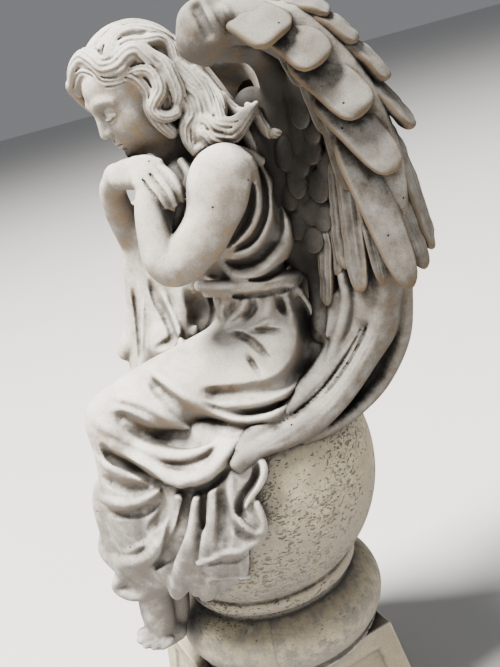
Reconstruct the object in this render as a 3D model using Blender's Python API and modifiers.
"""Winged figure seated on a ball, cast in stone on a square plinth (Blender 4.5).

Two castings. The upper one is the seated figure, its dress, both wings, the ball that it
sits on and the ball's turned collar. The lower one is a square plinth with sunk panels.
Metres, +Z up. The origin is the middle of the plinth's underside and its sides follow X, Y.

The figure is modelled in millimetres round the ball's axis: +X is the figure's left, -Y is
the way the dress and knees face, and Z counts up from the plinth's underside.
"""

import math

import bmesh
import bpy
from mathutils import Matrix, Vector

COLLECTION = "cemetery_angel_statue"

# Plinth, in metres
PLINTH_H = 0.120
PLINTH_BASE_W = 0.214       # across the foot
PLINTH_TOP_W = 0.184        # across the top
PLINTH_EDGE = 0.0025        # bevel of its arrises
PANEL_MARGIN = 0.022        # plain border round each sunk panel
PANEL_DEPTH = 0.004
JOINT_GAP = 0.0003          # bed between the two castings

# Turned ball and collar, in metres
BALL_R = 0.130
COLLAR_R = 0.107            # fullest radius of the rounded collar
COLLAR_H = 0.0655           # from its bed to the cove under the ring
RING_R = 0.089
RING_H = 0.014
COVE_H = 0.006
SEAT_LAP = 0.006            # how far the figure's own seat lies inside the turned ball
TURN_STEPS = 44
BALL_BANDS = 14

# The figure on its ball
FIGURE_TURN = math.radians(-20.0)   # the figure looks past the plinth's face
FIGURE_SETBACK = 0.018              # the ball's axis behind the plinth's middle
FIGURE_H = 0.295                    # from the top of the ball to the crown
DRAWN_H = 295.0                     # the same height in the drawing units below
DRAWN_SEAT = 435.0                  # the top of the ball in those units

# Casting surface
CAST_GRAIN = 0.0034         # smallest form that the figure's solid keeps
SMOOTH_PASSES = 3
FIGURE_FACES = 7200

COLLAR_Z = PLINTH_H + JOINT_GAP
RING_Z = COLLAR_Z + COLLAR_H + COVE_H
BALL_Z = RING_Z + RING_H + math.sqrt(BALL_R ** 2 - (RING_R - 0.005) ** 2)
SEAT_Z = BALL_Z + BALL_R
UNIT = FIGURE_H / DRAWN_H


def clear_scene():
    for obj in list(bpy.data.objects):
        bpy.data.objects.remove(obj, do_unlink=True)


def collection(name):
    found = bpy.data.collections.get(name) or bpy.data.collections.new(name)
    if found.name not in bpy.context.scene.collection.children:
        bpy.context.scene.collection.children.link(found)
    return found


def material(name, colour, roughness):
    mat = bpy.data.materials.new(name)
    mat.use_nodes = True
    shader = mat.node_tree.nodes["Principled BSDF"]
    shader.inputs["Base Color"].default_value = (*colour, 1.0)
    shader.inputs["Roughness"].default_value = roughness
    shader.inputs["Metallic"].default_value = 0.0
    return mat


def place(x, y, z):
    """A drawn point in metres round the ball's axis, kept to the seat on the ball."""
    return Vector((x * UNIT, y * UNIT, SEAT_Z + (z - DRAWN_SEAT) * UNIT))


class Clay:
    """Gathers overlapping closed forms in one mesh, to be fused into one casting."""

    def __init__(self):
        self.mesh = bmesh.new()

    def add_mesh(self, mesh):
        self.mesh.from_mesh(mesh)
        bpy.data.meshes.remove(mesh)

    def add_sphere(self, shape):
        """A unit sphere whose points are moved by the function shape."""
        ball = bmesh.new()
        bmesh.ops.create_uvsphere(ball, u_segments=14, v_segments=10, radius=1.0)
        for vert in ball.verts:
            vert.co = shape(vert.co)
        made = bpy.data.meshes.new("form")
        ball.to_mesh(made)
        ball.free()
        self.add_mesh(made)

    def limb(self, *points):
        """A round tapering form through points (x, y, z, radius)."""
        data = bpy.data.curves.new("limb", "CURVE")
        data.dimensions = "3D"
        data.bevel_depth = 1.0
        data.bevel_resolution = 2
        data.use_fill_caps = True
        data.resolution_u = 4
        spline = data.splines.new("BEZIER")
        spline.bezier_points.add(len(points) - 1)
        for knot, (x, y, z, r) in zip(spline.bezier_points, points):
            knot.co = place(x, y, z)
            knot.radius = r * UNIT
            knot.handle_left_type = knot.handle_right_type = "AUTO"
        obj = bpy.data.objects.new("limb", data)
        bpy.context.scene.collection.objects.link(obj)
        view = bpy.context.evaluated_depsgraph_get()
        made = bpy.data.meshes.new_from_object(obj.evaluated_get(view))
        bpy.data.objects.remove(obj, do_unlink=True)
        bpy.data.curves.remove(data)
        weld = bmesh.new()
        weld.from_mesh(made)
        bmesh.ops.remove_doubles(weld, verts=weld.verts, dist=1e-5)
        weld.to_mesh(made)
        weld.free()
        self.add_mesh(made)
        for x, y, z, r in (points[0], points[-1]):
            self.egg((x, y, z), (r, r, r))

    def egg(self, centre, radii, turn=(0.0, 0.0, 0.0)):
        """An ellipsoid, turned by Euler angles in degrees."""
        spin = Matrix.Rotation(math.radians(turn[2]), 4, "Z")
        spin = spin @ Matrix.Rotation(math.radians(turn[1]), 4, "Y")
        spin = spin @ Matrix.Rotation(math.radians(turn[0]), 4, "X")
        size = Matrix.Diagonal((*[r * UNIT for r in radii], 1.0))
        where = Matrix.Translation(place(*centre)) @ spin @ size
        self.add_sphere(lambda point: where @ point)

    def feather(self, root, tip, facing, width, thick, bow=0.0):
        """A blunt plate from root to tip, with its flat side towards facing."""
        a, b = place(*root), place(*tip)
        along = b - a
        flat = Vector(facing)
        flat = (flat - flat.project(along)).normalized()
        side = along.cross(flat).normalized()

        def plate(point):
            x, y, z = point
            t = 0.5 + 0.5 * z
            blunt = min(1.35, abs(1.0 - z ** 6) ** 0.5 / max(1e-3, abs(1.0 - z * z) ** 0.5))
            half = width * UNIT * (0.62 + 0.38 * t) * blunt
            deep = thick * UNIT * blunt
            lift = bow * UNIT * (1.0 - z * z)
            return a + along * t + side * (y * half) + flat * (x * deep + lift)

        self.add_sphere(plate)

    def casting(self, name, coll):
        """One closed solid of everything gathered, at the casting's own grain."""
        raw = bpy.data.meshes.new(name + "_raw")
        self.mesh.to_mesh(raw)
        self.mesh.free()
        obj = bpy.data.objects.new(name + "_raw", raw)
        coll.objects.link(obj)
        fuse = obj.modifiers.new("Fuse", "REMESH")
        fuse.mode = "VOXEL"
        fuse.voxel_size = CAST_GRAIN
        ease = obj.modifiers.new("Ease", "SMOOTH")
        ease.factor = 0.5
        ease.iterations = SMOOTH_PASSES
        view = bpy.context.evaluated_depsgraph_get()
        solid = bpy.data.meshes.new_from_object(obj.evaluated_get(view))
        bpy.data.objects.remove(obj, do_unlink=True)
        keep_largest(solid)
        solid.name = name
        return solid


def keep_largest(mesh):
    """Drops trapped bubbles and crumbs, so that one closed skin is left."""
    work = bmesh.new()
    work.from_mesh(mesh)
    work.verts.ensure_lookup_table()
    seen, islands = set(), []
    for start in work.verts:
        if start.index in seen:
            continue
        stack, island = [start], []
        seen.add(start.index)
        while stack:
            vert = stack.pop()
            island.append(vert)
            for edge in vert.link_edges:
                other = edge.other_vert(vert)
                if other.index not in seen:
                    seen.add(other.index)
                    stack.append(other)
        islands.append(island)
    islands.sort(key=len, reverse=True)
    for island in islands[1:]:
        bmesh.ops.delete(work, geom=island, context="VERTS")
    work.to_mesh(mesh)
    work.free()


def model_body(clay):
    """Hips, trunk, neck and bare limbs."""
    clay.egg((0, 52, 440), (64, 50, 42))
    clay.egg((0, 58, 492), (50, 40, 50))
    clay.egg((0, 58, 552), (57, 43, 56))
    clay.limb((-60, 53, 596, 22), (-20, 50, 600, 22), (20, 50, 600, 22), (60, 53, 596, 22))
    clay.limb((2, 40, 600, 22), (4, 20, 626, 19), (6, 8, 648, 18))
    clay.egg((0, 22, 592), (46, 34, 30))
    clay.egg((2, 2, 604), (24, 20, 18))
    # left arm: shoulder, elbow over the lap, wrist under the other hand
    clay.limb((66, 53, 597, 25), (71, 28, 564, 22), (74, -4, 536, 20), (72, -17, 541, 18),
              (68, -19, 559, 15), (60, -18, 581, 12), (48, -17, 596, 11), (30, -28, 602, 10))
    # right arm, folded round in front of the chest, and the hand on top
    clay.limb((-66, 52, 596, 25), (-74, 15, 575, 22), (-58, -20, 552, 19),
              (-34, -36, 562, 15), (-14, -40, 586, 13), (4, -34, 609, 12))
    clay.limb((6, -32, 610, 10), (22, -26, 614, 11), (40, -16, 608, 9))
    for finger in range(4):
        step = finger * 6.0
        clay.limb((46 + finger, -24 + step, 600 + step, 5), (60, -10 + step, 589 + step * 0.6, 4.6),
                  (56, -4 + step, 578 + step * 0.4, 4))


def model_head(clay):
    """A plain oval face, bowed and turned a little, under parted waving hair."""
    centre = Vector((6.0, -1.0, 677.0))
    ahead = Vector((0.317, -0.871, -0.375)).normalized()
    above = (Vector((0, 0, 1)) - ahead * ahead.z).normalized()
    left = above.cross(ahead)

    def spot(x, y, z):
        return tuple(centre + left * x + ahead * y + above * z)

    def lump(x, y, z, rx, ry, rz):
        yaw = math.degrees(math.atan2(-left.y, -left.x)) + 180.0
        pitch = -math.degrees(math.asin(-ahead.z))
        clay.egg(spot(x, y, z), (rx, ry, rz), (-pitch, 0, yaw))

    lump(0, -2, 6, 37, 46, 43)
    lump(0, 14, -16, 30, 30, 33)
    clay.limb((*spot(0, 36, 6), 4), (*spot(0, 46, -9), 5))
    clay.limb((*spot(-7, 37, -26), 4), (*spot(0, 41, -26), 4.5), (*spot(7, 37, -26), 4))
    clay.egg(spot(0, 33, -40), (11, 9, 10))
    # cap of hair and the rolled waves that frame the face
    lump(0, -6, 6, 41, 45, 43)
    for side in (-1, 1):
        clay.limb((*spot(0, 30, 33), 8), (*spot(14 * side, 33, 28), 8),
                  (*spot(26 * side, 26, 20), 8), (*spot(34 * side, 15, 8), 8),
                  (*spot(38 * side, 10, -12), 8), (*spot(38 * side, -2, -30), 8))
    # long locks behind the neck, over the shoulder and blown back under the wing
    clay.limb((4, 18, 690, 24), (8, 44, 668, 22), (10, 72, 648, 17), (12, 100, 634, 12))
    clay.limb((38, 12, 682, 13), (44, 36, 652, 14), (48, 46, 624, 13), (52, 40, 602, 9))
    clay.limb((34, 34, 690, 14), (40, 58, 652, 14), (46, 74, 626, 12), (48, 86, 612, 9))
    clay.limb((46, 66, 618, 8), (50, 84, 612, 8), (52, 98, 634, 8), (50, 112, 640, 7),
              (52, 122, 624, 7), (50, 132, 628, 6))
    clay.limb((-34, 14, 690, 15), (-40, 44, 652, 16), (-42, 60, 612, 12))


def model_legs(clay):
    """Both legs under the dress, with the near knee level and the far knee drawn up."""
    clay.limb((38, 52, 438, 36), (46, 0, 432, 32), (50, -60, 422, 29), (50, -96, 412, 27))
    clay.limb((50, -96, 406, 27), (52, -104, 350, 26), (50, -112, 290, 24), (48, -114, 252, 20))
    clay.limb((56, -70, 400, 24), (60, -80, 340, 24), (54, -88, 290, 22), (48, -96, 250, 18))
    clay.limb((-38, 50, 440, 36), (-40, 8, 500, 30), (-40, -24, 556, 24))
    clay.limb((-40, -26, 552, 24), (-42, -38, 490, 21), (-42, -54, 430, 20), (-40, -76, 396, 17))
    clay.limb((-40, -84, 396, 15), (-42, -112, 384, 11), (-42, -124, 378, 8))
    # bare foot that hangs below the hem
    clay.limb((48, -113, 240, 12), (47, -116, 209, 11), (48, -124, 182, 12))
    clay.limb((46, -112, 178, 12), (52, -128, 176, 11), (54, -138, 180, 8))


def model_dress(clay):
    """Folds of the dress that show from a step away."""
    # bodice: loops of cloth under the arm, and the belt
    clay.limb((44, 69, 606, 6), (52, 80, 590, 6), (56, 76, 560, 6), (58, 43, 540, 5))
    clay.limb((46, 84, 590, 5), (54, 85, 560, 6), (57, 64, 533, 6), (56, 41, 527, 5))
    clay.limb((40, 93, 568, 6), (48, 94, 530, 7), (52, 80, 507, 7), (54, 45, 505, 6))
    clay.limb((20, 14, 498, 6), (44, 22, 498, 6), (52, 52, 494, 6), (30, 90, 492, 7),
              (-30, 90, 492, 7), (-52, 52, 494, 6), (-44, 22, 498, 6), (-20, 14, 498, 6))
    # hip, and the fold of cloth that falls behind it and round under the lap
    clay.egg((50, 46, 432), (32, 40, 32))
    clay.limb((42, 90, 474, 5), (48, 98, 440, 6), (60, 80, 404, 7), (84, 36, 400, 6),
              (90, 11, 406, 5))
    # lap and thigh: long sagging folds from the knee to the hip
    clay.egg((60, -30, 418), (40, 66, 30), (0, 0, 4))
    clay.egg((62, 22, 412), (44, 46, 30))
    clay.limb((62, -52, 442, 7), (86, -25, 415, 7), (98, 6, 397, 7), (98, 32, 392, 6),
              (84, 58, 394, 6))
    clay.limb((60, -80, 434, 6), (82, -56, 414, 7), (96, -30, 398, 6))
    clay.limb((42, -116, 418, 7), (70, -104, 402, 8), (94, -68, 384, 8), (110, -26, 384, 7))
    clay.limb((56, -114, 396, 7), (84, -86, 374, 8), (110, -58, 363, 8), (121, -30, 366, 7),
              (115, -8, 382, 6))
    # shin: cloth drawn round to the back in bands, down to the hem
    clay.limb((44, -124, 386, 6), (66, -114, 370, 7), (80, -84, 359, 6))
    clay.limb((42, -134, 350, 6), (66, -120, 338, 7), (82, -76, 348, 6))
    clay.limb((110, -52, 358, 8), (88, -72, 314, 9), (74, -102, 282, 9), (50, -136, 272, 9),
              (30, -138, 282, 8))
    clay.limb((30, -136, 254, 8), (48, -138, 246, 9), (62, -122, 241, 8), (68, -104, 250, 8))
    # cloth hanging down the ball beside the shin, in upright ridges
    clay.limb((116, -43, 358, 7), (120, -60, 316, 9), (104, -82, 273, 9), (88, -90, 248, 9))
    clay.limb((121, -44, 328, 7), (116, -60, 290, 8), (102, -71, 252, 8))
    clay.limb((122, -28, 360, 7), (130, -40, 330, 8), (128, -54, 298, 7))
    clay.limb((126, -17, 343, 6), (132, -28, 310, 7), (126, -40, 276, 5))
    clay.limb((124, -11, 365, 6), (134, -20, 332, 6), (137, -12, 315, 6), (134, 0, 313, 5))
    clay.limb((118, 14, 362, 5), (130, 4, 350, 5), (135, -8, 340, 5), (135, 0, 322, 5),
              (135, -8, 302, 5))
    # cloth over the drawn-up shin, with its free corner
    clay.limb((-38, -34, 566, 12), (-44, -46, 520, 13), (-46, -60, 460, 13), (-48, -82, 438, 8))
    clay.limb((-24, -30, 560, 9), (-24, -38, 500, 10), (-24, -50, 450, 10), (-22, -60, 424, 9))
    clay.limb((-66, -22, 540, 9), (-70, -32, 480, 10), (-68, -44, 430, 11), (-70, -60, 396, 9))
    clay.limb((-60, 20, 500, 18), (-72, -6, 450, 18), (-84, -14, 400, 15), (-92, -30, 370, 10))
    # cloth that fills the lap between the knees
    clay.limb((-6, 30, 520, 26), (-8, 6, 500, 24), (-8, -12, 470, 24), (0, -34, 446, 22))
    clay.limb((-30, 20, 470, 30), (-34, -14, 460, 30), (-34, -38, 440, 26), (-34, -60, 416, 20))
    clay.limb((12, 6, 505, 7), (12, -3, 478, 8), (14, -14, 456, 8))
    clay.limb((-10, -14, 505, 7), (-10, -22, 478, 8), (-12, -34, 452, 8))


def model_wing(clay, side):
    """A folded wing: thick leading limb, overlapping blunt feathers and a long lower sweep."""
    def flip(p):
        """The far wing is the same, with its bent wrist held lower and further back."""
        x, y, z = p[:3]
        if side < 0:
            high = min(1.0, max(0.0, (z - 600.0) / 80.0))
            y += 16.0 * high * (1.0 - (y - 50.0) / 150.0)
            z -= 10.0 * high
        return (x * side, y, z, *p[3:])

    def limb(*points):
        clay.limb(*[flip(p) for p in points])

    def feather(root, tip, facing, width, thick, bow=0.0):
        clay.feather(flip(root), flip(tip), (facing[0] * side, *facing[1:]), width, thick, bow)

    # leading limb from the shoulder blade out to the bent wrist and over the top
    limb((28, 96, 590, 20), (46, 100, 636, 24), (62, 92, 668, 25), (78, 72, 692, 22),
         (86, 66, 702, 19), (88, 84, 708, 18), (92, 112, 700, 20), (94, 138, 674, 20),
         (98, 158, 634, 19), (100, 170, 590, 17), (100, 176, 545, 13))
    # body of the wing between the limb and the trunk
    limb((34, 112, 630, 18), (34, 118, 560, 18), (42, 112, 480, 16), (52, 100, 436, 13))
    limb((56, 132, 650, 17), (56, 142, 560, 16), (58, 134, 490, 14), (66, 112, 424, 11))
    limb((76, 150, 650, 16), (76, 162, 580, 16), (76, 157, 510, 15), (74, 140, 450, 13))
    limb((90, 154, 640, 14), (92, 168, 570, 14), (92, 170, 510, 12), (84, 162, 466, 11))
    # broad outer feathers along the limb, each over the next one
    outer = (
        ((94, 62, 706), (106, 91, 704), (0.75, -0.1, 0.6), 12, 8),
        ((98, 88, 714), (115, 118, 688), (0.8, 0.1, 0.6), 15, 8),
        ((104, 116, 700), (117, 146, 662), (0.85, 0.2, 0.45), 15, 8),
        ((108, 130, 672), (120, 170, 620), (0.9, 0.1, 0.3), 15, 8),
        ((112, 146, 636), (122, 181, 575), (0.95, 0.1, 0.15), 15, 8),
        ((112, 156, 596), (116, 166, 477), (1.0, 0.1, 0.0), 15, 7),
    )
    for root, tip, facing, width, thick in outer:
        feather(root, tip, facing, width, thick, 3.0)
    # rows that turn over to the back of the wing
    for row in range(3):
        inset = row * 20.0
        for n in range(5):
            t = n / 4.0
            y, z = 134 + 52 * t ** 0.8, 704 - 118 * t
            feather((96 - inset, y - 4, z + 8), (100 - inset, y + 14, z - 34 - 30 * t),
                    (0.35, 0.9, 0.25), 12, 7, 3.0)
        feather((98 - inset, 180, 575), (100 - inset, 190, 494 - row * 6),
                (0.3, 0.95, 0.0), 13, 8, 3.0)
    # inner edge: narrow feathers seen end on, then long flat ones
    inner = (
        ((94, 118, 676), (92, 127, 648), 8), ((94, 130, 655), (90, 138, 610), 8),
        ((95, 144, 622), (90, 146, 562), 9), ((92, 146, 576), (86, 137, 476), 11),
        ((80, 141, 566), (76, 134, 494), 10), ((72, 134, 566), (68, 129, 498), 9),
        ((60, 124, 530), (62, 112, 462), 9), ((70, 132, 500), (72, 108, 424), 9),
    )
    for root, tip, width in inner:
        feather(root, tip, (0.75, -0.65, 0.0), width, 5, 2.0)
    # small rounded covert feathers close to the back
    for x, y, z in ((65, 127, 608), (60, 120, 590), (52, 111, 580), (50, 108, 565),
                    (65, 125, 560), (74, 138, 598), (54, 111, 538), (54, 109, 513)):
        feather((x - 2, y + 4, z + 24), (x, y, z + 2), (0.6, -0.8, 0.0), 8, 5)
    # long feathers that sweep down and forward round the ball
    limb((90, 162, 520, 13), (86, 156, 470, 12), (80, 144, 434, 12), (80, 118, 404, 12),
         (88, 90, 386, 12), (100, 55, 376, 11), (112, 24, 374, 10), (121, 4, 374, 9),
         (126, -7, 372, 6))
    limb((76, 150, 490, 12), (70, 138, 450, 12), (70, 110, 416, 12), (76, 78, 398, 11),
         (90, 45, 388, 10), (106, 16, 384, 9), (118, -2, 379, 7))
    limb((72, 172, 480, 11), (66, 162, 424, 11), (62, 138, 390, 10), (66, 114, 370, 9),
         (76, 90, 366, 8), (92, 62, 366, 7))
    limb((58, 112, 470, 13), (58, 104, 432, 13), (64, 84, 408, 12), (76, 56, 396, 11))


def turned_base(coll):
    """Profile of collar, ring and ball, turned about the ball's axis."""
    points = [(COLLAR_R * 0.90, COLLAR_Z), (0.0, COLLAR_Z)]
    for n in range(9):
        turn = math.radians(-62 + 138 * n / 8)
        radius = COLLAR_R - COLLAR_H * 0.5 * (1.0 - math.cos(turn))
        points.insert(0, (radius, COLLAR_Z + COLLAR_H * (0.5 + 0.5 * math.sin(turn))))
    points.insert(0, (RING_R - 0.005, RING_Z))
    for n in range(5):
        turn = math.radians(-70 + 140 * n / 4)
        points.insert(0, (RING_R - 0.004 + 0.004 * math.cos(turn),
                          RING_Z + RING_H * (0.5 + 0.5 * math.sin(turn))))
    low = math.asin((RING_Z + RING_H - BALL_Z) / BALL_R)
    for n in range(1, BALL_BANDS + 1):
        turn = low + (math.pi / 2 - low) * n / BALL_BANDS
        points.insert(0, (BALL_R * math.cos(turn) if n < BALL_BANDS else 0.0,
                          BALL_Z + BALL_R * math.sin(turn)))
    profile = bmesh.new()
    verts = [profile.verts.new((r, 0.0, z)) for r, z in points]
    for a, b in zip(verts, verts[1:]):
        profile.edges.new((a, b))
    mesh = bpy.data.meshes.new("turned_base")
    profile.to_mesh(mesh)
    profile.free()
    obj = bpy.data.objects.new("turned_base", mesh)
    coll.objects.link(obj)
    screw = obj.modifiers.new("Turn", "SCREW")
    screw.axis = "Z"
    screw.steps = screw.render_steps = TURN_STEPS
    screw.use_merge_vertices = True
    screw.merge_threshold = 0.00005
    screw.use_normal_calculate = True
    obj.hide_render = True
    obj.display_type = "WIRE"
    return obj


def build_angel(coll, cutters, stone):
    clay = Clay()
    model_body(clay)
    model_head(clay)
    model_legs(clay)
    model_dress(clay)
    model_wing(clay, 1)
    model_wing(clay, -1)
    # the seat: a smaller ball inside the turned one joins hips, dress and base
    seat = (BALL_R - SEAT_LAP) / UNIT
    clay.egg((0, 0, DRAWN_SEAT - BALL_R / UNIT), (seat, seat, seat))
    mesh = clay.casting("angel_on_ball", coll)
    obj = bpy.data.objects.new("angel_on_ball", mesh)
    coll.objects.link(obj)
    thin = obj.modifiers.new("Thin", "DECIMATE")
    thin.ratio = min(1.0, FIGURE_FACES / (2.0 * len(mesh.polygons)))
    base = turned_base(cutters)
    join = obj.modifiers.new("Join", "BOOLEAN")
    join.operation = "UNION"
    join.solver = "EXACT"
    join.object = base
    mesh.materials.append(stone)
    swing = Matrix.Rotation(FIGURE_TURN, 3, "Z")
    for item in (obj, base):
        item.location = swing @ Vector((0.0, FIGURE_SETBACK, 0.0))
        item.rotation_euler = (0.0, 0.0, FIGURE_TURN)
    return obj


def build_plinth(coll, cutters, stone):
    half_low, half_top = PLINTH_BASE_W / 2, PLINTH_TOP_W / 2
    block = bmesh.new()
    bmesh.ops.create_cube(block, size=1.0)
    for vert in block.verts:
        half = half_top if vert.co.z > 0 else half_low
        vert.co = Vector((math.copysign(half, vert.co.x), math.copysign(half, vert.co.y),
                          PLINTH_H if vert.co.z > 0 else 0.0))
    mesh = bpy.data.meshes.new("plinth")
    block.to_mesh(mesh)
    block.free()
    obj = bpy.data.objects.new("plinth", mesh)
    coll.objects.link(obj)
    edge = obj.modifiers.new("Edges", "BEVEL")
    edge.width = PLINTH_EDGE
    edge.segments = 2
    edge.limit_method = "ANGLE"
    # one sunk panel in each side, cut by a tapering block that leans with the face
    lean = math.atan2(half_low - half_top, PLINTH_H)
    slope = PLINTH_H / math.cos(lean)
    low, high = half_low - PANEL_MARGIN, half_top - PANEL_MARGIN
    rise = slope / 2 - PANEL_MARGIN
    for n in range(4):
        cut = bmesh.new()
        bmesh.ops.create_cube(cut, size=1.0)
        for vert in cut.verts:
            t = 1.0 if vert.co.z > 0 else -1.0
            wide = (low + high) / 2 + t * (high - low) / 2 * (rise * 2 / slope)
            out = PANEL_DEPTH if vert.co.y < 0 else -PANEL_DEPTH
            inset = 0.0 if out > 0 else PANEL_DEPTH * 0.6
            vert.co = Vector((math.copysign(wide - inset, vert.co.x), -out, t * (rise - inset)))
        mesh_cut = bpy.data.meshes.new("panel_cut")
        cut.to_mesh(mesh_cut)
        cut.free()
        tool = bpy.data.objects.new("panel_cut_%d" % n, mesh_cut)
        tool.hide_render = True
        tool.display_type = "WIRE"
        cutters.objects.link(tool)
        spin = Matrix.Rotation(n * math.pi / 2, 4, "Z")
        middle = Vector((0.0, -(half_low + half_top) / 2, PLINTH_H / 2))
        tool.matrix_world = (spin @ Matrix.Translation(middle)
                             @ Matrix.Rotation(-lean, 4, "X"))
        sink = obj.modifiers.new("Panel %d" % n, "BOOLEAN")
        sink.operation = "DIFFERENCE"
        sink.solver = "EXACT"
        sink.object = tool
    mesh.materials.append(stone)
    return obj


def main():
    clear_scene()
    coll = collection(COLLECTION)
    cutters = collection("cutters")
    figure_stone = material("cast_stone_figure", (0.60, 0.56, 0.50), 0.85)
    plinth_stone = material("cast_stone_plinth", (0.55, 0.51, 0.45), 0.88)
    build_angel(coll, cutters, figure_stone)
    build_plinth(coll, cutters, plinth_stone)


main()
